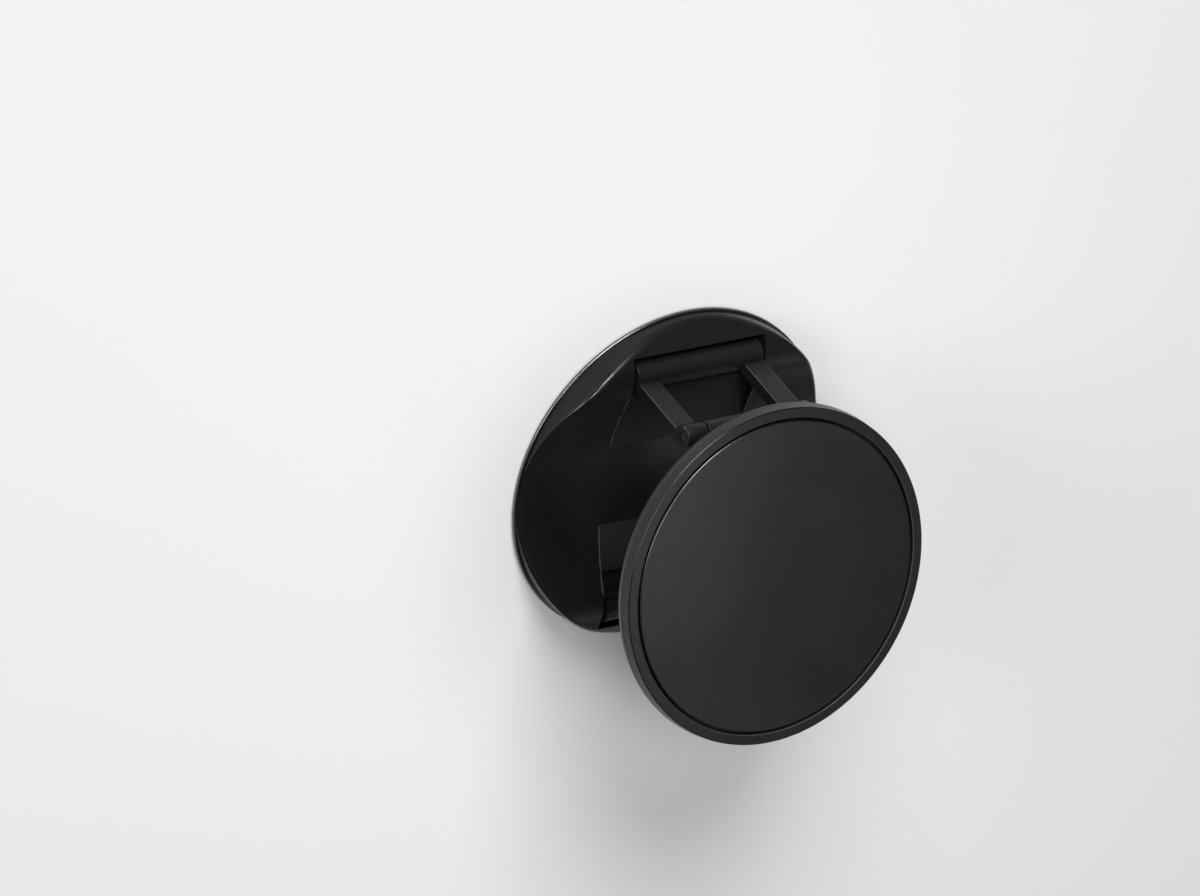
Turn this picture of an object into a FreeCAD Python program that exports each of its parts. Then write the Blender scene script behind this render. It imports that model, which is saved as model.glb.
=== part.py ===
# Folding grip: a round base and a round head, joined at each end by a leg of two hinged pieces.
import FreeCAD, Part
import math
import os
import re
import Sketcher

# Frame: Z = 0 is the sticky face, +Z points away from it, and +Y runs to the upper hinge.
# Driving dimensions, in millimetres and degrees.
sizes = {
    "pad_thickness": 0.3,
    "pad_inset": 1.3,
    "base_radius": 22.3,
    "rim_height": 0.4,
    "rim_step": 0.35,
    "rim_round": 0.15,
    "scoop_floor": 0.95,
    "scoop_radius": 30.0,
    "crest_inset": 6.4,
    "crest_radius": 6.5,
    "flank_angle": 36.0,
    "lip_round": 0.65,
    "hinge_inset": 6.1,
    "hinge_height": 3.1,
    "pocket_width": 19.3,
    "pocket_floor": 1.45,
    "well_floor": 0.95,
    "well_reach": 3.9,
    "barrel_gap": 0.85,
    "leg_side_gap": 0.45,
    "leg_length": 12.2,
    "leg_thickness": 1.6,
    "leg_step": 0.2,
    "leg_arm_width": 3.0,
    "leg_round": 0.2,
    "barrel_radius": 1.9,
    "knee_radius": 1.5,
    "link_side_gap": 0.2,
    "link_length": 6.7,
    "link_thickness": 1.6,
    "link_prong_width": 3.1,
    "eye_radius": 1.4,
    "lug_side_gap": 0.2,
    "lug_reach": 3.1,
    "lug_radius": 1.35,
    "mouth_angle": 40.0,
    "base_pin_radius": 0.75,
    "base_pin_seat": 2.2,
    "knee_pin_radius": 0.6,
    "knee_pin_inset": 0.3,
    "head_pin_radius": 0.6,
    "head_pin_inset": 0.3,
    "running_clearance": 0.05,
    "seat_clearance": 0.02,
    "head_radius": 21.75,
    "head_front_inset": 0.15,
    "head_front_round": 0.15,
    "head_thickness": 3.5,
    "head_seam_depth": 1.4,
    "seam_break": 0.08,
    "bezel_width": 1.3,
    "disc_gap": 0.25,
    "disc_thickness": 0.8,
    "disc_round": 0.25,
    "film_thickness": 0.2,
    "film_inset": 0.6,
    "upper_leg_angle": 11.0,
    "upper_link_angle": 69.8,
    "lower_leg_angle": 19.9,
}

doc = FreeCAD.newDocument("FoldingGrip")
sheet = doc.addObject("Spreadsheet::Sheet", "Sizes")
for row, (alias, number) in enumerate(sizes.items(), start=1):
    sheet.set(f"A{row}", alias)
    sheet.set(f"B{row}", str(number))
    sheet.setAlias(f"B{row}", alias)
doc.recompute()

pieces = []
axis_x = FreeCAD.Vector(1, 0, 0)
axis_y = FreeCAD.Vector(0, 1, 0)
axis_z = FreeCAD.Vector(0, 0, 1)
origin = FreeCAD.Vector(0, 0, 0)
quarter_turn = 90
half_turn = 180
ccw, cw = 1, -1
edge_samples = 5
close_enough = 1e-6
horizontal_index, vertical_index, root_index = -1, -2, -1
start_index, end_index, centre_index = 1, 2, 3
alias_pattern = re.compile(r"\b[a-z]+(?:_[a-z]+)+\b")

# Sizes that several pieces share, as expressions on the sheet.
leg_half = "(pocket_width / 2 - leg_side_gap)"
window_half = f"({leg_half} - leg_arm_width)"
link_half = f"({window_half} - link_side_gap)"
slot_half = f"({link_half} - link_prong_width)"
lug_half = f"({slot_half} - lug_side_gap)"
crest_offset = "(base_radius - crest_inset)"
hinge_offset = "(base_radius - hinge_inset)"
pivot_offset = f"({hinge_offset} - leg_length + link_length)"
pivot_depth = "(head_thickness + lug_reach)"
recess_depth = "(disc_thickness + film_thickness)"
head_front_radius = "(head_radius - head_front_inset)"
recess_radius = f"({head_front_radius} - bezel_width)"
disc_radius = f"({recess_radius} - disc_gap)"


def on_sheet(expression):
    return alias_pattern.sub(r"Sizes.\g<0>", expression)


def value(expression):
    return float(sheet.evalExpression(expression))


def bind(feature, **expressions):
    for name, expression in expressions.items():
        feature.setExpression(name.replace("_", "."), on_sheet(expression))


def keep(feature, label, placement=None):
    feature.Label = label
    if placement is not None:
        feature.Placement = placement
    pieces.append(feature)


# Blocks, rods along X and booleans, sized by expressions.
def block(name, width, depth, height, x, y, z):
    solid = doc.addObject("Part::Box", name)
    bind(solid, Length=width, Width=depth, Height=height)
    bind(solid, Placement_Base_x=x, Placement_Base_y=y, Placement_Base_z=z)
    return solid


def rod(name, radius, length, x, y="0", z="0"):
    solid = doc.addObject("Part::Cylinder", name)
    solid.Placement = FreeCAD.Placement(origin, FreeCAD.Rotation(axis_y, quarter_turn))
    bind(solid, Radius=radius, Height=length)
    bind(solid, Placement_Base_x=x, Placement_Base_y=y, Placement_Base_z=z)
    return solid


def fuse(name, solids):
    joined = doc.addObject("Part::MultiFuse", name)
    joined.Shapes = solids
    joined.Refine = True
    return joined


def cut(name, base, tool):
    result = doc.addObject("Part::Cut", name)
    result.Base = base
    result.Tool = tool
    result.Refine = True
    return result


def round_edges(name, base, edges, radius):
    rounded = doc.addObject("Part::Fillet", name)
    rounded.Base = base
    rounded.Edges = [(number, value(radius), value(radius)) for number in edges]
    return rounded


# Closed outlines of lines and arcs, with every corner held by an expression.
def hold(sketch, curve, end, x, y):
    for kind, axis, expression in (("DistanceX", vertical_index, x), ("DistanceY", horizontal_index, y)):
        place = value(expression)
        if place == 0:
            sketch.addConstraint(Sketcher.Constraint("PointOnObject", curve, end, axis))
            continue
        ends = (root_index, start_index, curve, end) if place > 0 else (curve, end, root_index, start_index)
        sign = "" if place > 0 else "-"
        number = sketch.addConstraint(Sketcher.Constraint(kind, *ends, abs(place)))
        sketch.setExpression(f"Constraints[{number}]", f"{sign}({on_sheet(expression)})")


def outline(sketch, corners, arcs):
    places = [FreeCAD.Vector(value(x), value(y), 0) for x, y in corners]
    first = sketch.GeometryCount
    ends = []
    for step, start in enumerate(places):
        finish = places[(step + 1) % len(places)]
        if step in arcs:
            centre_x, centre_y, radius, turn = arcs[step]
            centre = FreeCAD.Vector(value(centre_x), value(centre_y), 0)
            angles = [math.atan2(point.y - centre.y, point.x - centre.x) for point in (start, finish)]
            circle = Part.Circle(centre, axis_z, value(radius))
            sketch.addGeometry(Part.ArcOfCircle(circle, *angles[::turn]))
            ends.append((start_index, end_index)[::turn])
        else:
            sketch.addGeometry(Part.LineSegment(start, finish))
            ends.append((start_index, end_index))
    for step, (x, y) in enumerate(corners):
        following = (step + 1) % len(corners)
        joint = (first + step, ends[step][1], first + following, ends[following][0])
        sketch.addConstraint(Sketcher.Constraint("Coincident", *joint))
        hold(sketch, first + step, ends[step][0], x, y)
        if step in arcs and not half_round(places[step], places[following], value(arcs[step][2])):
            radius = arcs[step][2]
            number = sketch.addConstraint(Sketcher.Constraint("Radius", first + step, value(radius)))
            sketch.setExpression(f"Constraints[{number}]", on_sheet(radius))


def half_round(start, finish, radius):
    # The ends of a half circle fix its radius by themselves.
    return math.isclose(start.distanceToPoint(finish), 2 * radius, rel_tol=close_enough)


def new_sketch(body, name, role):
    sketch = body.newObject("Sketcher::SketchObject", name)
    plane = [item for item in body.Origin.OriginFeatures if item.Role == role][0]
    sketch.AttachmentSupport = (plane, [""])
    sketch.MapMode = "FlatFace"
    return sketch


def turned(name, corners, arcs):
    # A body turned about Z from an outline in radius and height.
    body = doc.addObject("PartDesign::Body", name)
    sketch = new_sketch(body, f"{name}Section", "XZ_Plane")
    outline(sketch, corners, arcs)
    spin = body.newObject("PartDesign::Revolution", f"{name}Turn")
    spin.Profile = sketch
    spin.ReferenceAxis = (sketch, ["V_Axis"])
    return body


# Sticky pad under the base.
def adhesive_pad():
    pad = doc.addObject("Part::Cylinder", "AdhesivePad")
    bind(pad, Radius="base_radius - pad_inset", Height="pad_thickness")
    keep(pad, "adhesive_pad")


# Base: a rim, a round wall under a saddle-shaped top, and a pocket that takes both folded legs.
# The top is a hollow between two round crests, and each crest falls in a straight flank to the wall.
def base_housing():
    scoop_centre = "(scoop_floor + scoop_radius)"
    reach = "(scoop_radius + crest_radius)"
    crest_drop = f"sqrt({reach} ^ 2 - {crest_offset} ^ 2)"
    crest_centre = f"({scoop_centre} - {crest_drop})"
    flank_y = f"({crest_offset} + crest_radius * sin(flank_angle))"
    flank_z = f"({crest_centre} + crest_radius * cos(flank_angle))"
    blend_y = f"({crest_offset} * scoop_radius / {reach})"
    blend_z = f"({scoop_centre} - {crest_drop} * scoop_radius / {reach})"
    wall_radius = "(base_radius - rim_step)"
    foot = "-crest_radius"
    toe = f"({flank_y} + ({flank_z} + crest_radius) / tan(flank_angle))"
    height = "2 * base_radius"
    corners = [
        (f"-{toe}", foot),
        (toe, foot),
        (flank_y, flank_z),
        (blend_y, blend_z),
        (f"-{blend_y}", blend_z),
        (f"-{flank_y}", flank_z),
    ]
    arcs = {
        2: (crest_offset, crest_centre, "crest_radius", ccw),
        3: ("0", scoop_centre, "scoop_radius", cw),
        4: (f"-{crest_offset}", crest_centre, "crest_radius", ccw),
    }
    saddle = doc.addObject("PartDesign::Body", "BaseSaddle")
    sketch = new_sketch(saddle, "BaseSaddleSection", "YZ_Plane")
    outline(sketch, corners, arcs)
    run = saddle.newObject("PartDesign::Pad", "BaseSaddleRun")
    run.Profile = sketch
    run.SideType = "Symmetric"
    bind(run, Length=height)
    puck = doc.addObject("Part::Cylinder", "BasePuck")
    bind(puck, Radius=wall_radius, Height=height, Placement_Base_z=foot)
    blank = doc.addObject("Part::Common", "BaseBlank")
    blank.Base = saddle
    blank.Tool = puck
    doc.recompute()
    lips = [
        number
        for number, edge in enumerate(blank.Shape.Edges, start=1)
        if edge.BoundBox.ZMax > value(foot) + value("lip_round") and on_wall(edge, value(wall_radius))
    ]
    smooth = round_edges("BaseLips", blank, lips, "lip_round")
    edge = "-base_radius"
    below = block("BaseUnderside", height, height, height, edge, edge, f"pad_thickness - {height}")
    rim = doc.addObject("Part::Cylinder", "BaseRim")
    bind(rim, Radius="base_radius", Height="rim_height", Placement_Base_z="pad_thickness")
    doc.recompute()
    rim_top = value("pad_thickness + rim_height")
    tops = [
        number
        for number, edge in enumerate(rim.Shape.Edges, start=1)
        if edge.BoundBox.ZMin > rim_top - value("rim_round")
    ]
    soft_rim = round_edges("BaseRimRound", rim, tops, "rim_round")
    solid = fuse("BaseSolid", [cut("BaseTop", smooth, below), soft_rim])

    slot_end = f"({hinge_offset} + barrel_radius + barrel_gap)"
    well_start = f"({hinge_offset} - well_reach)"
    well_run = f"{slot_end} - {well_start}"
    left = "-pocket_width / 2"
    slot_run = f"2 * {slot_end}"
    tools = [block("BasePocket", "pocket_width", slot_run, height, left, f"-{slot_end}", "pocket_floor")]
    for side, low in (("Upper", well_start), ("Lower", f"-{slot_end}")):
        tools.append(block(f"{side}Well", "pocket_width", well_run, height, left, low, "well_floor"))
    seat_run = "pocket_width + 2 * base_pin_seat"
    seat_left = f"{left} - base_pin_seat"
    seat_radius = "base_pin_radius + seat_clearance"
    for side, y in (("Upper", hinge_offset), ("Lower", f"-{hinge_offset}")):
        tools.append(rod(f"{side}PinSeat", seat_radius, seat_run, seat_left, y, "hinge_height"))
    keep(cut("BaseHousing", solid, fuse("BaseCuts", tools)), "base_housing")


def on_wall(edge, radius):
    points = edge.discretize(edge_samples)
    return all(abs(math.hypot(point.x, point.y) - radius) < value("seat_clearance") for point in points)


# Legs: a barrel in the base, two arms and their ears. Local Z runs from barrel to knee, +Y is outside.
def leg(side, placement):
    arm_y = "leg_step - leg_thickness"
    solids = [rod(f"{side}Barrel", "barrel_radius", f"2 * {leg_half}", f"-{leg_half}")]
    for end, x in (("Left", f"-{leg_half}"), ("Right", window_half)):
        arm = block(f"{side}{end}Arm", "leg_arm_width", "leg_thickness", "leg_length", x, arm_y, "0")
        ear = rod(f"{side}{end}Ear", "knee_radius", "leg_arm_width", x, "0", "leg_length")
        solids += [arm, ear]
    blank = fuse(f"{side}LegBlank", solids)
    doc.recompute()
    rounds = [
        number
        for number, edge in enumerate(blank.Shape.Edges, start=1)
        if edge.BoundBox.ZLength > value("leg_length") / 2
    ]
    smooth = round_edges(f"{side}LegRounds", blank, rounds, "leg_round")
    bore = "base_pin_radius + running_clearance"
    seat = "knee_pin_radius + seat_clearance"
    length = f"2 * {leg_half}"
    bores = [
        rod(f"{side}BarrelBore", bore, length, f"-{leg_half}"),
        rod(f"{side}EarBore", seat, length, f"-{leg_half}", "0", "leg_length"),
    ]
    keep(cut(f"{side}Leg", smooth, fuse(f"{side}LegBores", bores)), f"{side.lower()}_leg", placement)


# Links: a knuckle between the leg's ears and a fork round the head's lug. Local Z runs to the head.
def link(side, placement):
    prong_y = "-link_thickness / 2"
    solids = [rod(f"{side}Knuckle", "knee_radius", f"2 * {link_half}", f"-{link_half}")]
    wide, thick = "link_prong_width", "link_thickness"
    for end, x in (("Left", f"-{link_half}"), ("Right", slot_half)):
        prong = block(f"{side}{end}Prong", wide, thick, "link_length", x, prong_y, "0")
        eye = rod(f"{side}{end}Eye", "eye_radius", wide, x, "0", "link_length")
        solids += [prong, eye]
    length = f"2 * {link_half}"
    bore = "knee_pin_radius + running_clearance"
    seat = "head_pin_radius + seat_clearance"
    bores = [
        rod(f"{side}KnuckleBore", bore, length, f"-{link_half}"),
        rod(f"{side}EyeBore", seat, length, f"-{link_half}", "0", "link_length"),
    ]
    blank = fuse(f"{side}LinkBlank", solids)
    keep(cut(f"{side}Link", blank, fuse(f"{side}LinkBores", bores)), f"{side.lower()}_link", placement)


# Hinge pins, each along X through its own knuckles.
def pin(name, radius, half, point):
    solid = doc.addObject("Part::Cylinder", name.title().replace("_", ""))
    bind(solid, Radius=radius, Height=f"2 * {half}")
    left_end = FreeCAD.Vector(-value(half), *point)
    keep(solid, name, FreeCAD.Placement(left_end, FreeCAD.Rotation(axis_y, quarter_turn)))


# Head: a front shell with a recess, a rear cover, and an inset disc held by a thin film.
# The cover has two lugs: one is bored, and one is a hook, open on a slant so that its pin can part from it.
def head(placement):
    front_flat = f"{head_front_radius} - head_front_round"
    shell = turned(
        "HeadShell",
        [
            ("0", "-head_seam_depth"),
            ("head_radius - seam_break", "-head_seam_depth"),
            ("head_radius", "seam_break - head_seam_depth"),
            (head_front_radius, "-head_front_round"),
            (front_flat, "0"),
            (recess_radius, "0"),
            (recess_radius, f"-{recess_depth}"),
            ("0", f"-{recess_depth}"),
        ],
        {3: (front_flat, "-head_front_round", "head_front_round", ccw)},
    )
    keep(shell, "head_shell", placement)

    back_top = "-(head_seam_depth + seam_break)"
    back_round = "(head_thickness - head_seam_depth - seam_break)"
    cover = turned(
        "HeadCover",
        [
            ("0", "-head_thickness"),
            (f"head_radius - {back_round}", "-head_thickness"),
            ("head_radius", back_top),
            ("head_radius - seam_break", "-head_seam_depth"),
            ("0", "-head_seam_depth"),
        ],
        {1: (f"head_radius - {back_round}", back_top, back_round, ccw)},
    )
    lugs = new_sketch(cover, "HeadLugs", "YZ_Plane")
    bores = new_sketch(cover, "HeadLugBores", "YZ_Plane")
    bore = "(head_pin_radius + running_clearance)"
    for middle in (pivot_offset, f"-{pivot_offset}"):
        lug_corners = [
            (f"{middle} - lug_radius", "-head_seam_depth"),
            (f"{middle} - lug_radius", f"-{pivot_depth}"),
            (f"{middle} + lug_radius", f"-{pivot_depth}"),
            (f"{middle} + lug_radius", "-head_seam_depth"),
        ]
        outline(lugs, lug_corners, {1: (middle, f"-{pivot_depth}", "lug_radius", ccw)})
    mouth_run = "(2 * lug_radius)"
    mouth_y = f"(-{pivot_offset} + {bore} * sin(mouth_angle))"
    mouth_z = f"(-{pivot_depth} + {bore} * cos(mouth_angle))"
    mouth_end = f"({mouth_y} + {mouth_run} * cos(mouth_angle))"
    mouth_floor = f"(-{pivot_depth} - {mouth_run})"
    mouth_corners = [
        (f"-{pivot_offset} - {bore}", mouth_floor),
        (mouth_end, mouth_floor),
        (mouth_end, f"{mouth_z} - {mouth_run} * sin(mouth_angle)"),
        (mouth_y, mouth_z),
        (f"-{pivot_offset} - {bore}", f"-{pivot_depth}"),
    ]
    outline(bores, mouth_corners, {3: (f"-{pivot_offset}", f"-{pivot_depth}", bore, ccw)})
    circle_at = FreeCAD.Vector(value(pivot_offset), -value(pivot_depth), 0)
    circle = bores.addGeometry(Part.Circle(circle_at, axis_z, value(bore)))
    hold(bores, circle, centre_index, pivot_offset, f"-{pivot_depth}")
    number = bores.addConstraint(Sketcher.Constraint("Radius", circle, value(bore)))
    bores.setExpression(f"Constraints[{number}]", on_sheet(bore))
    lug_pad = cover.newObject("PartDesign::Pad", "HeadLugPad")
    lug_pad.Profile = lugs
    lug_pad.SideType = "Symmetric"
    bind(lug_pad, Length=f"2 * {lug_half}")
    bore_cut = cover.newObject("PartDesign::Pocket", "HeadLugBoreCut")
    bore_cut.Profile = bores
    bore_cut.SideType = "Symmetric"
    bind(bore_cut, Length=f"2 * {link_half}")
    keep(cover, "head_rear_cover", placement)

    film = doc.addObject("Part::Cylinder", "DiscFilm")
    bind(film, Radius=f"{disc_radius} - film_inset", Height="film_thickness")
    sunk = FreeCAD.Placement(FreeCAD.Vector(0, 0, -value(recess_depth)), FreeCAD.Rotation())
    keep(film, "disc_film", placement.multiply(sunk))

    disc = turned(
        "FrontDisc",
        [
            ("0", "-disc_thickness"),
            (disc_radius, "-disc_thickness"),
            (disc_radius, "-disc_round"),
            (f"{disc_radius} - disc_round", "0"),
            ("0", "0"),
        ],
        {2: (f"{disc_radius} - disc_round", "-disc_round", "disc_round", ccw)},
    )
    keep(disc, "front_disc", placement)


# Pose: points are (y, z); a lean is measured from +Z towards -Y.
def along(start, lean, length):
    angle = math.radians(lean)
    return (start[0] - length * math.sin(angle), start[1] + length * math.cos(angle))


def lean_of(start, end):
    return math.degrees(math.atan2(start[0] - end[0], end[1] - start[1]))


def meet(first, first_reach, second, second_reach):
    # The point at both reaches, on the left of the way from first to second.
    span = math.dist(first, second)
    ahead = (first_reach ** 2 - second_reach ** 2 + span ** 2) / (2 * span)
    aside = math.sqrt(first_reach ** 2 - ahead ** 2)
    way = ((second[0] - first[0]) / span, (second[1] - first[1]) / span)
    return (first[0] + ahead * way[0] - aside * way[1], first[1] + ahead * way[1] + aside * way[0])


def placed(point, lean, turned_round=False):
    rotation = FreeCAD.Rotation(axis_x, lean)
    if turned_round:
        rotation = rotation.multiply(FreeCAD.Rotation(axis_z, half_turn))
    return FreeCAD.Placement(FreeCAD.Vector(0, *point), rotation)


upper_hinge = (value(hinge_offset), value("hinge_height"))
upper_knee = along(upper_hinge, value("upper_leg_angle"), value("leg_length"))
upper_pivot = along(upper_knee, value("upper_link_angle"), value("link_length"))
lower_hinge = (-value(hinge_offset), value("hinge_height"))
lower_knee = along(lower_hinge, -value("lower_leg_angle"), value("leg_length"))
lower_pivot = meet(lower_knee, value("link_length"), upper_pivot, 2 * value(pivot_offset))
head_lean = lean_of(lower_pivot, upper_pivot) + quarter_turn
pivot_middle = ((upper_pivot[0] + lower_pivot[0]) / 2, (upper_pivot[1] + lower_pivot[1]) / 2)
head_centre = along(pivot_middle, head_lean, value(pivot_depth))
lower_link_lean = lean_of(lower_knee, lower_pivot)

adhesive_pad()
base_housing()
leg("Upper", placed(upper_hinge, value("upper_leg_angle")))
leg("Lower", placed(lower_hinge, -value("lower_leg_angle"), True))
link("Upper", placed(upper_knee, value("upper_link_angle")))
link("Lower", placed(lower_knee, lower_link_lean))
head(placed(head_centre, head_lean))
for side, hinge, knee, pivot in (
    ("upper", upper_hinge, upper_knee, upper_pivot),
    ("lower", lower_hinge, lower_knee, lower_pivot),
):
    pin(f"{side}_base_pin", "base_pin_radius", "(pocket_width / 2 + base_pin_seat)", hinge)
    pin(f"{side}_knee_pin", "knee_pin_radius", f"({leg_half} - knee_pin_inset)", knee)
    pin(f"{side}_head_pin", "head_pin_radius", f"({link_half} - head_pin_inset)", pivot)
doc.recompute()

# Hinge axes for the moving pieces.
for name, point in (
    ("upper hinge", upper_hinge),
    ("upper knee", upper_knee),
    ("upper pivot", upper_pivot),
    ("lower hinge", lower_hinge),
    ("lower knee", lower_knee),
    ("lower pivot", lower_pivot),
    ("head centre", head_centre),
):
    print(f"{name}: y {point[0]:.4f}, z {point[1]:.4f}")
print(f"head lean {head_lean:.4f}, lower link lean {lower_link_lean:.4f}")

# Every object has to be sound before anything is written.
for item in doc.Objects:
    if "Invalid" in item.State or "Error" in item.State:
        raise RuntimeError(f"{item.Label} failed: {item.State}")
os.makedirs("parts", exist_ok=True)
for piece in pieces:
    if piece.Shape.isNull() or not piece.Shape.isValid():
        raise RuntimeError(f"{piece.Label} has no sound solid")
for piece in pieces:
    piece.Shape.exportStep(f"parts/{piece.Label}.step")
    print(f"{piece.Label}: {len(piece.Shape.Solids)} solid, {piece.Shape.Volume:.2f} mm3")
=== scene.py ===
import math

import bpy
from mathutils import Matrix, Vector


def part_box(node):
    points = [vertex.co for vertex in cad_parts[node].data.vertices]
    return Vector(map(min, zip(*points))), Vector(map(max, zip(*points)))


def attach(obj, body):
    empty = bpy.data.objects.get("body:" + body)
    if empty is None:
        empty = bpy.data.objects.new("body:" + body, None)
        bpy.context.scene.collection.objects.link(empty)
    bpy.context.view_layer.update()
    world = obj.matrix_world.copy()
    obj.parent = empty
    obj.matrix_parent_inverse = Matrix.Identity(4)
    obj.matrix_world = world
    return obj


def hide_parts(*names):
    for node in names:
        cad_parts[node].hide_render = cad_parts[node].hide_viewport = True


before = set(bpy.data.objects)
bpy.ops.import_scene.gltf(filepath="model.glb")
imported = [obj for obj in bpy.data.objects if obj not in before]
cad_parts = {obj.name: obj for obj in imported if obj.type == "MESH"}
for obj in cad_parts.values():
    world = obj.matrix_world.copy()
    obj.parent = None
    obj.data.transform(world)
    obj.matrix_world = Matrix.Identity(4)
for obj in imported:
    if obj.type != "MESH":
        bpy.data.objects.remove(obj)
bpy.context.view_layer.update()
mm = 0.001
turnSteps = 192  # sides of every turned rim
slack = 0.02 * mm  # how near an edge has to be to count as the one meant
hair = 0.005 * mm  # nearer than this is the same place
square = 0.999  # the share of a normal along an axis that it is square to
roundTilt = (0.15, 0.98)  # that share on the round of an edge
pinRoom = 0.05 * mm  # between a pin and its bore
print("frame loaded:", len(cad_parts), "nodes")


# Selecting, turning, cutting and finishing, as by hand.
def pickNothing():
    bpy.ops.object.select_all(action="DESELECT")


def freshPiece(name):  # the primitive that was just added, under its own name
    piece = bpy.context.object
    piece.name = name
    piece.data.name = name
    return piece


def workOn(piece):
    pickNothing()
    piece.select_set(True)
    bpy.context.view_layer.objects.active = piece


def pickEdges(piece, wanted):  # leaves edit mode on with only the wanted edges selected
    startPicking(piece, "EDGE")
    points = piece.data.vertices
    for edge in piece.data.edges:
        edge.select = wanted(*(points[number].co for number in edge.vertices))
    bpy.ops.object.mode_set(mode="EDIT")


def pickFaces(piece, wanted):  # the same with faces
    startPicking(piece, "FACE")
    for face in piece.data.polygons:
        face.select = wanted(face.center, face.normal)
    bpy.ops.object.mode_set(mode="EDIT")


def startPicking(piece, kind):
    workOn(piece)
    bpy.ops.object.mode_set(mode="EDIT")
    bpy.ops.mesh.select_mode(type=kind)
    bpy.ops.mesh.select_all(action="DESELECT")
    bpy.ops.object.mode_set(mode="OBJECT")


def roundRim(piece, radius, height, width, steps=6):
    def onRim(*ends):
        return all(
            abs(math.hypot(end.x, end.y) - radius) < slack and abs(end.z - height) < slack
            for end in ends
        )
    pickEdges(piece, onRim)
    bpy.ops.mesh.bevel(offset=width, segments=steps, affect="EDGES", clamp_overlap=True)
    bpy.ops.object.mode_set(mode="OBJECT")


def mergeNear(piece):
    workOn(piece)
    bpy.ops.object.mode_set(mode="EDIT")
    bpy.ops.mesh.select_all(action="SELECT")
    bpy.ops.mesh.remove_doubles(threshold=hair)
    bpy.ops.mesh.normals_make_consistent(inside=False)
    bpy.ops.object.mode_set(mode="OBJECT")


def turnUp(name, rings):  # a turned solid, extruded and scaled ring by ring up from its first face
    pickNothing()
    radius, height = rings[0]
    bpy.ops.mesh.primitive_circle_add(vertices=turnSteps, radius=radius, fill_type="NGON")
    piece = freshPiece(name)
    bpy.ops.object.mode_set(mode="EDIT")
    bpy.ops.transform.translate(value=(0, 0, height))
    for nextRadius, nextHeight in rings[1:]:
        share = nextRadius / radius
        bpy.ops.mesh.extrude_region_move(TRANSFORM_OT_translate={"value": (0, 0, nextHeight - height)})
        bpy.ops.transform.resize(value=(share, share, 1), center_override=(0, 0, nextHeight))
        radius, height = nextRadius, nextHeight
    bpy.ops.mesh.select_all(action="SELECT")
    bpy.ops.mesh.normals_make_consistent(inside=False)
    bpy.ops.object.mode_set(mode="OBJECT")
    return piece


def roller(name, radius, length, y=0.0, z=0.0, steps=64):  # a round bar along X
    pickNothing()
    bpy.ops.mesh.primitive_cylinder_add(
        vertices=steps, radius=radius, depth=length, location=(0, y, z), rotation=(0, math.pi / 2, 0)
    )
    bpy.ops.object.transform_apply(location=True, rotation=True, scale=True)
    return freshPiece(name)


def slab(name, low, high):  # a square block between two corners
    pickNothing()
    bpy.ops.mesh.primitive_cube_add(size=1, location=(Vector(low) + Vector(high)) / 2)
    piece = freshPiece(name)
    piece.scale = Vector(high) - Vector(low)
    bpy.ops.object.transform_apply(location=True, rotation=True, scale=True)
    return piece


def slideAlong(piece, x):
    piece.data.transform(Matrix.Translation((x, 0, 0)))
    return piece


def combine(piece, tool, operation):  # UNION or DIFFERENCE, and the tool is used up
    workOn(piece)
    change = piece.modifiers.new("combine", "BOOLEAN")
    change.object = tool
    change.operation = operation
    change.solver = "EXACT"
    bpy.ops.object.modifier_apply(modifier=change.name)
    bpy.data.objects.remove(tool)
    return piece


def breakEdges(piece, width, steps=2, angle=math.radians(40)):  # the small radius of a moulded edge
    workOn(piece)
    change = piece.modifiers.new("breakEdges", "BEVEL")
    change.width = width
    change.segments = steps
    change.limit_method = "ANGLE"
    change.angle_limit = angle
    change.use_clamp_overlap = True
    bpy.ops.object.modifier_apply(modifier=change.name)
    return piece


def addArms(piece, inner, outer, faces, endRadius, length, edge):  # two flat arms with round ends
    for low, high in ((-outer, -inner), (inner, outer)):
        arm = slab("arm", (low, faces[0], 0), (high, faces[1], length))
        end = slideAlong(roller("armEnd", endRadius, high - low, z=length), (low + high) / 2)
        for tool in (arm, end):
            combine(piece, breakEdges(tool, edge), "UNION")


def pinFacts(node):  # centre, radius and length of a hinge pin
    low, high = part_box(node)
    return (low + high) / 2, (high.y - low.y) / 2, high.x - low.x


def pinCentre(node):
    return pinFacts(node)[0]


def boreRadius(node):
    return pinFacts(node)[1] + pinRoom


def boreFor(piece, node, half, y=0.0, z=0.0):  # a hole for a pin, right through a piece of this half width
    combine(piece, roller("bore", boreRadius(node), 4 * half, y, z), "DIFFERENCE")


def standing(start, end):  # a frame at start whose Z runs to end, X staying along the hinge pins
    along = (end - start).normalized()
    across = Vector((1, 0, 0))
    side = along.cross(across)
    return Matrix.Translation(start) @ Matrix((across, side, along)).transposed().to_4x4()


def markFaces(piece, name, strength):  # a face attribute that a finish can read
    marks = piece.data.attributes.new(name, "FLOAT", "FACE")
    for face in piece.data.polygons:
        marks.data[face.index].value = strength(face.center, face.normal)


def settle(piece, place=None, angle=math.radians(35)):  # smooth shading, then its place in the frame
    workOn(piece)
    bpy.ops.object.shade_smooth_by_angle(angle=angle)
    change = piece.modifiers.new("flatFaces", "WEIGHTED_NORMAL")
    change.keep_sharp = True
    bpy.ops.object.modifier_apply(modifier=change.name)
    if place is not None:
        piece.matrix_world = place
        bpy.ops.object.transform_apply(location=True, rotation=True, scale=True)


def give(piece, body, finish, node):  # body, finish and the solid that the piece stands for
    piece.data.materials.clear()
    piece.data.materials.append(finish)
    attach(piece, body)
    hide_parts(node)


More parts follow.
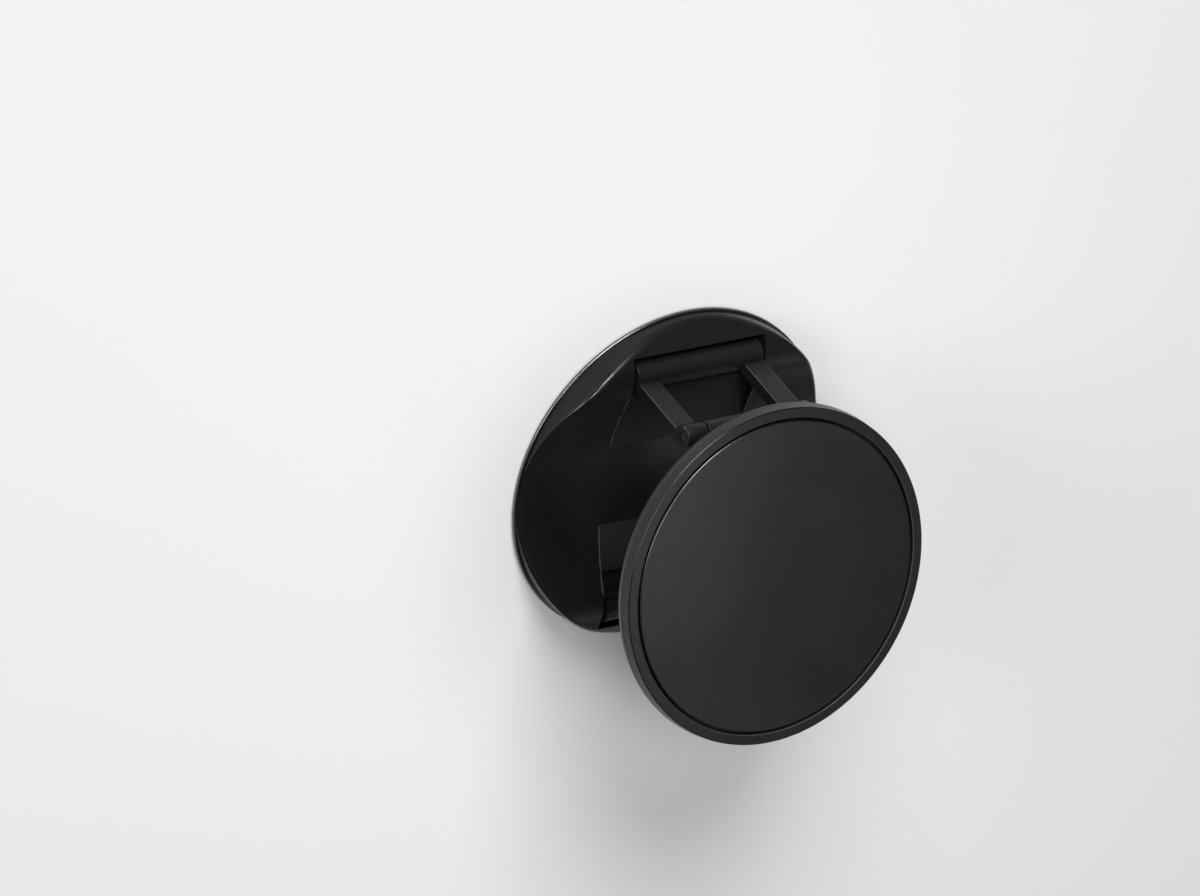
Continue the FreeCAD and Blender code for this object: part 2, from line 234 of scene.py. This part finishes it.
# Finishes.
class Signal:  # a shader socket that takes part in Python arithmetic
    def __init__(self, finish, socket):
        self.finish = finish
        self.socket = socket

    def worked(self, operation, first, second):
        return self.finish.node("ShaderNodeMath", {"operation": operation}, {0: first, 1: second})

    def __add__(self, other):
        return self.worked("ADD", self, other)

    def __radd__(self, other):
        return self.worked("ADD", other, self)

    def __sub__(self, other):
        return self.worked("SUBTRACT", self, other)

    def __rsub__(self, other):
        return self.worked("SUBTRACT", other, self)

    def __mul__(self, other):
        return self.worked("MULTIPLY", self, other)

    def __rmul__(self, other):
        return self.worked("MULTIPLY", other, self)

    def __gt__(self, other):
        return self.worked("GREATER_THAN", self, other)


class Finish:  # one material and the nodes it is made of
    def __init__(self, name):
        self.material = bpy.data.materials.new(name)
        self.material.use_nodes = True
        self.tree = self.material.node_tree
        self.tree.nodes.clear()
        self.output = self.tree.nodes.new("ShaderNodeOutputMaterial")

    def node(self, kind, settings=None, sockets=None, out=0):
        made = self.tree.nodes.new(kind)
        for key, setting in (settings or {}).items():
            setattr(made, key, setting)
        for key, given in (sockets or {}).items():
            if isinstance(given, Signal):
                self.tree.links.new(given.socket, made.inputs[key])
            else:
                made.inputs[key].default_value = given
        return Signal(self, made.outputs[out])

    def place(self):
        return self.node("ShaderNodeTexCoord", out="Object")

    def stretched(self, scale):
        return self.node("ShaderNodeMapping", sockets={"Vector": self.place(), "Scale": scale})

    def noise(self, scale, detail=2.0, roughness=0.5, vector=None):
        return self.node("ShaderNodeTexNoise", sockets={
            "Vector": vector or self.place(),
            "Scale": scale,
            "Detail": detail,
            "Roughness": roughness,
        })

    def blend(self, share, low, high):
        return self.node(
            "ShaderNodeMix", {"data_type": "RGBA"}, {"Factor": share, 6: low, 7: high}, out=2
        )

    def mark(self, name):
        return self.node("ShaderNodeAttribute", {"attribute_name": name}, out="Fac")

    def polished(self, tone):  # the tone and metallic share, with the marked faces made to shine
        polish = self.mark("polish")
        share = polish > markLook["leastPolish"]
        return self.blend(share, tone, self.blend(polish, shade(0), shade(1))), share

    def spread(self, signal, low=0.35, high=0.65):  # a noise value around a half, stretched from 0 to 1
        return self.node(
            "ShaderNodeMapRange", {"clamp": True}, {"Value": signal, "From Min": low, "From Max": high}
        )

    def bump(self, height, distance, strength):
        return self.node(
            "ShaderNodeBump", sockets={"Height": height, "Distance": distance, "Strength": strength}
        )

    def surface(self, **sockets):
        shader = self.node("ShaderNodeBsdfPrincipled", sockets=sockets)
        self.tree.links.new(shader.socket, self.output.inputs["Surface"])
        return self.material


def shade(grey, warm=0.0):
    return (grey * (1 + warm), grey, grey * (1 - warm), 1)


noiseMiddle = 0.5
markLook = {  # what a marked face does to its finish
    "leastPolish": 0.01,
    "polishDrop": 0.12,
    "matteRise": 0.18,
    # a lighter tone on the matte pocket floors, painted fill light in their shade
    "paintedFillLift": 1.3,
    # the lighter tone of the painted highlight lines
    "paintedHighlightTone": 0.05,
}
mouldingGrain = {
    "cloudScale": 90,
    "cloudShare": 0.7,  # of the tone, the pits have the rest
    "pitScale": 5200,
    "pitShare": 0.7,  # of the relief, the drift has the rest
    "pitRough": 0.12,
    "driftScale": 420,
    "driftRough": 0.10,
    "depth": 0.02 * mm,
}


def satinMoulding(name, look):  # black moulded plastic, polished where its faces are marked, matte with a lighter tone of painted fill light on marked floors, and with painted highlight lines in a lighter tone on marked edges
    finish = Finish(name)
    cloud = finish.spread(finish.noise(mouldingGrain["cloudScale"], detail=4))
    pits = finish.noise(mouldingGrain["pitScale"], detail=3, roughness=0.6)
    drift = finish.noise(mouldingGrain["driftScale"], detail=3)
    matte = finish.mark("matte")
    mottle = cloud * mouldingGrain["cloudShare"] + pits * (1 - mouldingGrain["cloudShare"])
    relief = pits * mouldingGrain["pitShare"] + drift * (1 - mouldingGrain["pitShare"])
    tone = finish.blend(mottle, shade(look["dark"]), shade(look["light"]))
    # matte pocket floors: partly real (rougher), partly painted fill light (a lighter tone that lifts their
    # shade)
    tone = finish.blend(matte, tone, shade(look["light"] * markLook["paintedFillLift"]))
    # painted highlight: a lighter tone on the marked faces, standing in for edge and step highlights
    tone = finish.blend(finish.mark("worn"), tone, shade(markLook["paintedHighlightTone"]))
    tone, shine = finish.polished(tone)
    rough = look["rough"] + mouldingGrain["driftRough"] * (drift - noiseMiddle)
    rough = rough + mouldingGrain["pitRough"] * (pits - noiseMiddle)
    return finish.surface(**{
        "Base Color": tone,
        "Metallic": shine,
        "Roughness": rough - markLook["polishDrop"] * shine + markLook["matteRise"] * matte,
        "Normal": finish.bump(relief, mouldingGrain["depth"], look["grain"]),
        "IOR": look["ior"],
    })


discGrain = {
    "cloudScale": 60,
    "cloudShare": 0.6,  # of the tone, the beads have the rest
    "cloudRough": 0.08,
    "beadScale": 9000,
    "beadRough": 0.10,
    "depth": 0.012 * mm,
}


def mattePlate(name, look):  # the inset disc: a softer, finer bead-blasted face
    finish = Finish(name)
    cloud = finish.spread(finish.noise(discGrain["cloudScale"], detail=3))
    beads = finish.noise(discGrain["beadScale"], roughness=0.55)
    mottle = cloud * discGrain["cloudShare"] + beads * (1 - discGrain["cloudShare"])
    tone, shine = finish.polished(finish.blend(mottle, shade(look["dark"]), shade(look["light"])))
    rough = look["rough"] + discGrain["cloudRough"] * (cloud - noiseMiddle)
    rough = rough + discGrain["beadRough"] * (beads - noiseMiddle)
    return finish.surface(**{
        "Base Color": tone,
        "Metallic": shine,
        "Roughness": rough - markLook["polishDrop"] * shine,
        "Normal": finish.bump(beads, discGrain["depth"], look["grain"]),
        "IOR": look["ior"],
    })


steelLook = {"dark": 0.03, "light": 0.05, "warm": 0.02, "rough": 0.28, "grain": 0.4}
steelGrain = {
    "lineScale": (150, 9000, 9000),
    "lineRough": 0.14,
    "stainScale": 700,
    "stainRange": (0.4, 0.7),
    "stainRough": 0.10,
    "depth": 0.006 * mm,
}


def drawnSteel(name):  # blackened pins with fine drawing lines along them
    finish = Finish(name)
    lines = finish.noise(1, detail=3, roughness=0.6, vector=finish.stretched(steelGrain["lineScale"]))
    stain = finish.spread(finish.noise(steelGrain["stainScale"], detail=3), *steelGrain["stainRange"])
    light = shade(steelLook["light"], steelLook["warm"])
    rough = steelLook["rough"] + steelGrain["lineRough"] * lines + steelGrain["stainRough"] * stain
    return finish.surface(**{
        "Base Color": finish.blend(stain, shade(steelLook["dark"]), light),
        "Metallic": 1.0,
        "Roughness": rough,
        "Normal": finish.bump(lines, steelGrain["depth"], steelLook["grain"]),
    })


tapeLook = {"dark": 0.016, "light": 0.045, "rough": 0.75, "grain": 0.6}
tapeGrain = {
    "cellScale": 3200.0,
    "cellShare": 0.8,  # of the tone, the clouds have the rest
    "cellRough": 0.15,
    "cloudScale": 500,
    "depth": 0.06 * mm,
}


def foamTape(name):  # closed-cell foam with an adhesive film
    finish = Finish(name)
    cells = finish.node(
        "ShaderNodeTexVoronoi",
        {"feature": "SMOOTH_F1"},
        {"Vector": finish.place(), "Scale": tapeGrain["cellScale"]},
    )
    cloud = finish.noise(tapeGrain["cloudScale"], detail=3)
    mottle = cells * tapeGrain["cellShare"] + cloud * (1 - tapeGrain["cellShare"])
    return finish.surface(**{
        "Base Color": finish.blend(mottle, shade(tapeLook["dark"]), shade(tapeLook["light"])),
        "Roughness": tapeLook["rough"] + tapeGrain["cellRough"] * cells,
        "Normal": finish.bump(cells, tapeGrain["depth"], tapeLook["grain"]),
    })


filmLook = {"dark": 0.35, "light": 0.5, "warm": 0.03, "rough": 0.25, "grain": 0.3}
filmGrain = {"rippleScale": 900, "rippleRough": 0.2, "depth": 0.02 * mm}


def clearFilm(name):  # the film behind the disc
    finish = Finish(name)
    ripple = finish.noise(filmGrain["rippleScale"])
    dark, light = (shade(filmLook[tone], filmLook["warm"]) for tone in ("dark", "light"))
    return finish.surface(**{
        "Base Color": finish.blend(ripple, dark, light),
        "Roughness": filmLook["rough"] + filmGrain["rippleRough"] * ripple,
        "Normal": finish.bump(ripple, filmGrain["depth"], filmLook["grain"]),
    })


baseLook = {"dark": 0.004, "light": 0.008, "rough": 0.32, "grain": 0.20, "ior": 1.28}
legLook = {"dark": 0.004, "light": 0.008, "rough": 0.36, "grain": 0.25, "ior": 1.26}
headLook = {"dark": 0.008, "light": 0.013, "rough": 0.34, "grain": 0.28, "ior": 1.33}
discLook = {"dark": 0.004, "light": 0.007, "rough": 0.40, "grain": 0.25, "ior": 1.43}
baseFinish = satinMoulding("satinBase", baseLook)
legFinish = satinMoulding("satinLeg", legLook)
linkFinish = satinMoulding("satinLink", legLook)
shellFinish = satinMoulding("satinShell", headLook)
coverFinish = satinMoulding("satinCover", headLook)
discFinish = mattePlate("matteDisc", discLook)
pinFinish = drawnSteel("drawnPin")
tapeFinish = foamTape("foamTape")
filmFinish = clearFilm("clearFilm")
print("finishes made:", len(bpy.data.materials))


# Sticky pad.
padSizes = {"edge": 0.12 * mm}

padLow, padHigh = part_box("adhesive_pad")
padRadius = (padHigh.x - padLow.x) / 2
pad = turnUp("stickyPad", [(padRadius, padLow.z), (padRadius, padHigh.z)])
for height in (padLow.z, padHigh.z):
    roundRim(pad, padRadius, height, padSizes["edge"], steps=3)
settle(pad)
give(pad, "base", tapeFinish, "adhesive_pad")
print("pad done")


# Base: rim, wall, saddle top and the pocket for both legs.
baseSizes = {
    "rimHeight": 0.4 * mm,
    "rimStep": 0.35 * mm,
    "rimRound": 0.15 * mm,
    "scoopFloor": 0.95 * mm,
    "scoopRadius": 30.0 * mm,
    "crestInset": 6.4 * mm,
    "crestRadius": 6.5 * mm,
    "flankSlope": math.tan(math.radians(36)),
    "lipRound": 0.65 * mm,
    "lipSteps": 8,
    "ringFirst": 0.08 * mm,  # from the lip inwards, each ring of the top is wider than the one before
    "ringGrowth": 1.12,
    "ringWidest": 0.9 * mm,
    "ringCentre": 1.5 * mm,
    "ceiling": 10 * mm,  # the top is first turned flat at this height
    "pocketWidth": 19.3 * mm,
    "pocketFloor": 1.45 * mm,
    "pocketToolTop": 12 * mm,
    "wellFloor": 0.95 * mm,
    "wellReach": 3.9 * mm,
    "slotReach": 2.75 * mm,  # past the hinge line, round the barrel
    "seatRoom": 0.02 * mm,
    "topTilt": 0.3,  # the upward share of a normal on the top, and its range on the lip
    "lipTilt": (0.05, 0.85),
    "smoothAngle": math.radians(28),
    "rimShine": 0.16,
    "lipShine": 0.04,
    "lipStop": 0.5,  # the lip's shine fades towards the flanks and stops at this share
    "paintedHighlightWidth": 0.15 * mm,  # the painted highlight strip along both sides of the pocket
    "paintedHighlightStop": 2.5 * mm,  # how far short of the hinge line it ends
}

baseLow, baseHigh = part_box("base_housing")
baseRadius = (baseHigh.x - baseLow.x) / 2
rimTop = baseLow.z + baseSizes["rimHeight"]
wallRadius = baseRadius - baseSizes["rimStep"]
topRadius = wallRadius - baseSizes["lipRound"]
crestOffset = baseRadius - baseSizes["crestInset"]
scoopCentre = baseSizes["scoopFloor"] + baseSizes["scoopRadius"]
sweepReach = baseSizes["scoopRadius"] + baseSizes["crestRadius"]
crestCentre = scoopCentre - math.sqrt(sweepReach ** 2 - crestOffset ** 2)
blendOffset = crestOffset * baseSizes["scoopRadius"] / sweepReach
flankTurn = math.atan(baseSizes["flankSlope"])
flankOffset = crestOffset + baseSizes["crestRadius"] * math.sin(flankTurn)
flankHeight = crestCentre + baseSizes["crestRadius"] * math.cos(flankTurn)
pocketHalf = baseSizes["pocketWidth"] / 2
hingeLine = pinCentre("upper_base_pin").y
wellStep = hingeLine - baseSizes["wellReach"]


def saddleHeight(y):  # hollow in the middle, a round crest at each end, then a straight flank
    out = abs(y)
    if out < blendOffset:
        return scoopCentre - math.sqrt(baseSizes["scoopRadius"] ** 2 - out ** 2)
    if out < flankOffset:
        return crestCentre + math.sqrt(baseSizes["crestRadius"] ** 2 - (out - crestOffset) ** 2)
    return flankHeight - (out - flankOffset) * baseSizes["flankSlope"]


def saddleRings():  # radii and depths below the top, closer together towards the lip
    lip = baseSizes["lipRound"]
    steps = baseSizes["lipSteps"]
    turns = [math.pi / 2 * step / steps for step in range(steps + 1)]
    rings = [(wallRadius - lip * (1 - math.cos(turn)), lip * (1 - math.sin(turn))) for turn in turns]
    radius, gap = topRadius, baseSizes["ringFirst"]
    while radius > baseSizes["ringCentre"]:
        radius -= gap
        rings.append((radius, 0.0))
        gap = min(gap * baseSizes["ringGrowth"], baseSizes["ringWidest"])
    return rings


def makeBase():
    ceiling = baseSizes["ceiling"]
    rings = [(baseRadius, baseLow.z), (baseRadius, rimTop), (wallRadius, rimTop)]
    rings += [(radius, ceiling - depth) for radius, depth in saddleRings()]
    piece = turnUp("baseMoulding", rings)
    roundRim(piece, baseRadius, rimTop, baseSizes["rimRound"], steps=4)
    for point in piece.data.vertices:
        if point.co.z > ceiling / 2:
            point.co.z = max(rimTop, saddleHeight(point.co.y) - (ceiling - point.co.z))
    mergeNear(piece)
    return piece


def cutPocket(piece):
    far = hingeLine + baseSizes["slotReach"]
    top = baseSizes["pocketToolTop"]
    for low, high, floor in (
        (-far, far, baseSizes["pocketFloor"]),
        (wellStep, far, baseSizes["wellFloor"]),
        (-far, -wellStep, baseSizes["wellFloor"]),
    ):
        tool = slab("pocketTool", (-pocketHalf, low, floor), (pocketHalf, high, top))
        combine(piece, tool, "DIFFERENCE")
    for pin in ("upper_base_pin", "lower_base_pin"):
        centre, radius, length = pinFacts(pin)
        seat = roller("seatTool", radius + baseSizes["seatRoom"], length, centre.y, centre.z)
        combine(piece, seat, "DIFFERENCE")


def scoreTop(piece, x):  # a new edge line across the top, along Y
    pickFaces(piece, onSaddle)
    bpy.ops.mesh.bisect(plane_co=(x, 0, 0), plane_no=(1, 0, 0))
    bpy.ops.object.mode_set(mode="OBJECT")


def sharpenFloor(piece):  # a crisp line along the pocket's floor, though it meets the hollow at a low angle
    pickEdges(piece, onFloorLine)
    bpy.ops.mesh.mark_sharp()
    bpy.ops.object.mode_set(mode="OBJECT")


def onFloorLine(*ends):  # where the pocket's floor runs out into the hollow
    level = baseSizes["pocketFloor"]
    return all(
        abs(end.z - level) < hair and abs(saddleHeight(end.y) - level) < slack for end in ends
    )


def onSaddle(centre, normal):
    inside = math.hypot(centre.x, centre.y) < topRadius
    upward = normal.z > baseSizes["topTilt"]
    return inside and upward and abs(centre.z - saddleHeight(centre.y)) < slack


def isPaintedHighlight(centre, normal):  # painted highlight: both long edges of the pocket, and the steps down to its wells, get a lighter tone
    beside = 0 < abs(centre.x) - pocketHalf < baseSizes["paintedHighlightWidth"]
    cut = saddleHeight(centre.y) > baseSizes["pocketFloor"] + slack
    short = abs(centre.y) < hingeLine - baseSizes["paintedHighlightStop"]
    step = abs(normal.y) > square and abs(abs(centre.y) - wellStep) < slack
    return float(step or (beside and cut and short and onSaddle(centre, normal)))


def baseShine(centre, normal):  # a bright rim, and a glossy lip round the top
    out = math.hypot(centre.x, centre.y)
    if out > wallRadius + slack:
        return baseSizes["rimShine"]
    low, high = baseSizes["lipTilt"]
    fade = (flankOffset - abs(centre.y)) / (flankOffset - crestOffset)
    onLip = out > topRadius and low < normal.z < high and centre.z > rimTop + slack
    return baseSizes["lipShine"] * min(1.0, fade) if onLip and fade > baseSizes["lipStop"] else 0.0


# matte pocket and well floors: rougher, and a lighter tone that paints fill light into their shade
def isPocketFloor(centre, normal):
    floors = (baseSizes["pocketFloor"], baseSizes["wellFloor"])
    level = any(abs(centre.z - floor) < hair for floor in floors)
    return float(level and normal.z > square and abs(centre.y) > baseSizes["wellReach"])


base = makeBase()
cutPocket(base)
# edge lines that bound the painted highlight strips
for side in (-1, 1):
    scoreTop(base, side * (pocketHalf + baseSizes["paintedHighlightWidth"]))
sharpenFloor(base)
# painted highlight on the pocket's edges and the wells' steps
markFaces(base, "worn", isPaintedHighlight)
markFaces(base, "polish", baseShine)
markFaces(base, "matte", isPocketFloor)
settle(base, angle=baseSizes["smoothAngle"])
give(base, "base", baseFinish, "base_housing")
print("base done:", len(base.data.polygons), "faces")


# Legs: a barrel in the base, two arms and their ears.
legSizes = {
    "sideGap": 0.45 * mm,
    "thickness": 1.6 * mm,
    "step": 0.2 * mm,
    "armWidth": 3.0 * mm,
    "barrelRadius": 1.9 * mm,
    "barrelSteps": 96,
    "earRadius": 1.5 * mm,
    "edge": 0.14 * mm,
    "edgeShine": 0.10,
    "edgeLean": 0.1,  # how far a shining edge may look along the arm
}

legHalf = pocketHalf - legSizes["sideGap"]
windowHalf = legHalf - legSizes["armWidth"]


def armShine(centre, normal):  # the rounded edges that run along both arms
    low, high = roundTilt
    onEdge = low < abs(normal.x) < high and abs(normal.z) < legSizes["edgeLean"]
    return legSizes["edgeShine"] if onEdge else 0.0


def makeLeg(side, outside):  # outside: +1 or -1, the way its flat outer faces look
    hinge, knee = pinCentre(side + "_base_pin"), pinCentre(side + "_knee_pin")
    length = (knee - hinge).length
    faces = sorted((outside * legSizes["step"], outside * (legSizes["step"] - legSizes["thickness"])))
    piece = roller(side + "Leg", legSizes["barrelRadius"], 2 * legHalf, steps=legSizes["barrelSteps"])
    breakEdges(piece, legSizes["edge"])
    addArms(piece, windowHalf, legHalf, faces, legSizes["earRadius"], length, legSizes["edge"])
    boreFor(piece, side + "_base_pin", legHalf)
    boreFor(piece, side + "_knee_pin", legHalf, z=length)
    markFaces(piece, "polish", armShine)
    settle(piece, standing(hinge, knee))
    give(piece, side + "_leg", legFinish, side + "_leg")


makeLeg("upper", 1)
makeLeg("lower", -1)
print("legs done")


# Links: a knuckle between the ears and a fork round the head's lug.
linkSizes = {
    "sideGap": 0.2 * mm,
    "thickness": 1.6 * mm,
    "prongWidth": 3.1 * mm,
    "eyeRadius": 1.4 * mm,
    "edge": 0.12 * mm,
}

linkHalf = windowHalf - linkSizes["sideGap"]
slotHalf = linkHalf - linkSizes["prongWidth"]


def makeLink(side):
    knee, pivot = pinCentre(side + "_knee_pin"), pinCentre(side + "_head_pin")
    length = (pivot - knee).length
    faces = (-linkSizes["thickness"] / 2, linkSizes["thickness"] / 2)
    piece = roller(side + "Link", legSizes["earRadius"], 2 * linkHalf)
    breakEdges(piece, linkSizes["edge"])
    addArms(piece, slotHalf, linkHalf, faces, linkSizes["eyeRadius"], length, linkSizes["edge"])
    boreFor(piece, side + "_knee_pin", linkHalf)
    boreFor(piece, side + "_head_pin", linkHalf, z=length)
    settle(piece, standing(knee, pivot))
    give(piece, side + "_link", linkFinish, side + "_link")


makeLink("upper")
makeLink("lower")
print("links done")


# Head: shell with its recess, rear cover with lugs, inset disc.
headSizes = {
    "radius": 21.75 * mm,
    "frontInset": 0.15 * mm,
    "frontRound": 0.15 * mm,
    "thickness": 3.5 * mm,
    "seamDepth": 1.4 * mm,
    "seamRound": 0.08 * mm,
    "backRound": 0.97,  # the share of the cover's thickness that its back edge is rounded by
    "backSteps": 16,
    "bezel": 1.3 * mm,
    "bezelRound": 0.08 * mm,
    "discGap": 0.33 * mm,
    "discThickness": 0.8 * mm,
    "discRound": 0.25 * mm,
    "filmThickness": 0.2 * mm,
    "lugReach": 3.1 * mm,
    "lugRadius": 1.35 * mm,
    "lugGap": 0.2 * mm,
    "lugEdge": 0.12 * mm,
    "shellShine": 0.035,
    "discShine": 0.06,
    "mouthTurn": math.radians(50),  # away from straight down
}

lowerPivot, upperPivot = pinCentre("lower_head_pin"), pinCentre("upper_head_pin")
headAcross = Vector((1, 0, 0))
headUp = (upperPivot - lowerPivot).normalized()
headOut = headAcross.cross(headUp)
pivotDepth = headSizes["thickness"] + headSizes["lugReach"]
headCentre = (lowerPivot + upperPivot) / 2 + headOut * pivotDepth
headPlace = Matrix.Translation(headCentre) @ Matrix((headAcross, headUp, headOut)).transposed().to_4x4()
pivotOffset = (upperPivot - lowerPivot).length / 2
backLevel, seamLevel = -headSizes["thickness"], -headSizes["seamDepth"]
frontRadius = headSizes["radius"] - headSizes["frontInset"]
recessRadius = frontRadius - headSizes["bezel"]
discRadius = recessRadius - headSizes["discGap"]
recessLevel = -headSizes["discThickness"] - headSizes["filmThickness"]


def onRound(centre, normal, way):  # on a rounded front edge that looks outward, +1, or inward, -1
    low, high = roundTilt
    return way * (centre.x * normal.x + centre.y * normal.y) > 0 and low < normal.z < high


def makeShell():
    piece = turnUp("headShell", [
        (headSizes["radius"], seamLevel),
        (frontRadius, 0.0),
        (recessRadius, 0.0),
        (recessRadius, recessLevel),
        (recessRadius / 2, recessLevel),
    ])
    roundRim(piece, frontRadius, 0.0, headSizes["frontRound"])
    roundRim(piece, recessRadius, 0.0, headSizes["bezelRound"], steps=4)
    roundRim(piece, headSizes["radius"], seamLevel, headSizes["seamRound"], steps=3)
    markFaces(piece, "polish", lambda *face: headSizes["shellShine"] * onRound(*face, 1))
    # painted highlight: a lighter tone on the bezel's inner round
    markFaces(piece, "worn", lambda *face: float(onRound(*face, -1)))
    settle(piece, headPlace)
    give(piece, "head", shellFinish, "head_shell")


def makeLug(pin, middle):
    half, reach, room = slotHalf - headSizes["lugGap"], headSizes["lugRadius"], boreRadius(pin)
    lug = slab("lug", (-half, middle - reach, -pivotDepth), (half, middle + reach, seamLevel))
    combine(lug, roller("lugEnd", reach, 2 * half, middle, -pivotDepth), "UNION")
    breakEdges(lug, headSizes["lugEdge"])
    boreFor(lug, pin, half, middle, -pivotDepth)
    if middle < 0:  # this lug is a hook, open on a slant so that its pin can part from it
        for turn in (0.0, headSizes["mouthTurn"]):
            mouth = slab("mouth", (-2 * half, -room, -pivotDepth), (2 * half, room, 0))
            mouth.data.transform(Matrix.Rotation(turn, 4, "X"))
            mouth.data.transform(Matrix.Translation((0, middle, -pivotDepth)))
            combine(lug, mouth, "DIFFERENCE")
    return lug


def makeCover():
    radius = headSizes["radius"]
    backRound = headSizes["backRound"] * (seamLevel - backLevel)
    piece = turnUp("headCover", [(radius, seamLevel), (radius, backLevel)])
    roundRim(piece, radius, backLevel, backRound, headSizes["backSteps"])
    roundRim(piece, radius, seamLevel, headSizes["seamRound"], steps=3)
    combine(piece, makeLug("upper_head_pin", pivotOffset), "UNION")
    combine(piece, makeLug("lower_head_pin", -pivotOffset), "UNION")
    settle(piece, headPlace)
    give(piece, "head", coverFinish, "head_rear_cover")


def makeDisc():
    piece = turnUp("frontDisc", [(discRadius, -headSizes["discThickness"]), (discRadius, 0.0)])
    roundRim(piece, discRadius, 0.0, headSizes["discRound"], steps=5)
    markFaces(piece, "polish", lambda *face: headSizes["discShine"] * onRound(*face, 1))
    settle(piece, headPlace)
    give(piece, "head", discFinish, "front_disc")


makeShell()
makeCover()
makeDisc()
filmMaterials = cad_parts["disc_film"].data.materials
filmMaterials.clear()
filmMaterials.append(filmFinish)
print("head done")


# Hinge pins.
pinSizes = {
    "endRound": 0.08 * mm,
    "kneeReach": 0.25 * mm,  # knee pins end nearly flush with the ears
    "steps": 48,
}


def makePin(node, body, reach=0.0):
    centre, radius, length = pinFacts(node)
    words = node.split("_")
    name = words[0] + "".join(word.title() for word in words[1:])
    piece = roller(name, radius, length + 2 * reach, centre.y, centre.z, pinSizes["steps"])
    breakEdges(piece, pinSizes["endRound"], steps=3)
    settle(piece)
    give(piece, body, pinFinish, node)


for side in ("upper", "lower"):
    makePin(side + "_base_pin", "base")
    makePin(side + "_knee_pin", side + "_leg", pinSizes["kneeReach"])
    makePin(side + "_head_pin", side + "_link")
print("pins done")


# Floor, light and camera.
floorLook = {"size": 3.0, "tone": 0.70, "drift": 1.04, "cloudScale": 6, "rough": 0.7}
worldLook = {"tone": 0.85, "strength": 0.22}
lampSet = {
    "keyBox": {"place": (-0.40, 1.60, 0.95), "size": 1.1, "power": 43.0},
    "sideBox": {"place": (-1.65, 0.55, 0.80), "size": 0.9, "power": 12.0},
    "frontBox": {"place": (-0.62, 0.60, 1.10), "size": 0.35, "power": 5.0},
    "rightBox": {"place": (1.00, -1.00, 0.88), "size": 0.6, "power": 0.9},
    "discCard": {  # a small card over the disc
        "place": (0.009, 0.008, 0.110),
        "size": 0.055,
        "power": 0.024,
        "aim": (-0.024, 0.014, 0.023),
    },
}

pickNothing()
bpy.ops.mesh.primitive_plane_add(size=floorLook["size"], location=(0, 0, 0))
floor = freshPiece("floor")
floorFinish = Finish("paleFloor")
floorCloud = floorFinish.noise(floorLook["cloudScale"], detail=3)
floorTones = (shade(floorLook["tone"]), shade(floorLook["tone"] * floorLook["drift"]))
floor.data.materials.append(floorFinish.surface(**{
    "Base Color": floorFinish.blend(floorCloud, *floorTones),
    "Roughness": floorLook["rough"],
}))

world = bpy.data.worlds.new("studioWorld")
world.use_nodes = True
sky = world.node_tree.nodes["Background"]
sky.inputs["Color"].default_value = shade(worldLook["tone"])
sky.inputs["Strength"].default_value = worldLook["strength"]
bpy.context.scene.world = world


def softBox(name, place, size, power, aim=(0, 0, 0)):
    pickNothing()
    bpy.ops.object.light_add(type="AREA", location=place)
    lamp = bpy.context.object
    lamp.name = name
    lamp.data.shape = "DISK"
    lamp.data.size = size
    lamp.data.energy = power
    lamp.visible_camera = False
    lamp.rotation_euler = (Vector(aim) - Vector(place)).to_track_quat("-Z", "Y").to_euler()


for lampName, lampSettings in lampSet.items():
    softBox(lampName, **lampSettings)
print("floor and light done")

cameraView = {  # the photograph's viewing angle, worked out in the part's own frame
    "place": (-0.7259, 0.6419, 0.9677),
    "right": (0.83397, 0.11833, 0.53898),
    "down": (-0.16807, -0.87586, 0.45235),
    "forward": (0.52559, -0.46783, -0.71055),
    "focal": 11103,  # in pixels of the 1200 pixel wide picture
    "pictureWidth": 1200,
    "sensor": 36.0,
    "near": 0.05,
    "far": 10,
}

pickNothing()
bpy.ops.object.camera_add(location=cameraView["place"])
camera = bpy.context.object
camera.data.sensor_width = cameraView["sensor"]
camera.data.lens = cameraView["focal"] / cameraView["pictureWidth"] * cameraView["sensor"]
camera.data.clip_start = cameraView["near"]
camera.data.clip_end = cameraView["far"]
axes = (Vector(cameraView["right"]), -Vector(cameraView["down"]), -Vector(cameraView["forward"]))
cameraTurn = Matrix(axes).transposed().normalized()
camera.matrix_world = Matrix.Translation(cameraView["place"]) @ cameraTurn.to_4x4()
bpy.context.scene.camera = camera
bpy.context.scene.view_settings.view_transform = "Standard"

print("scene done")
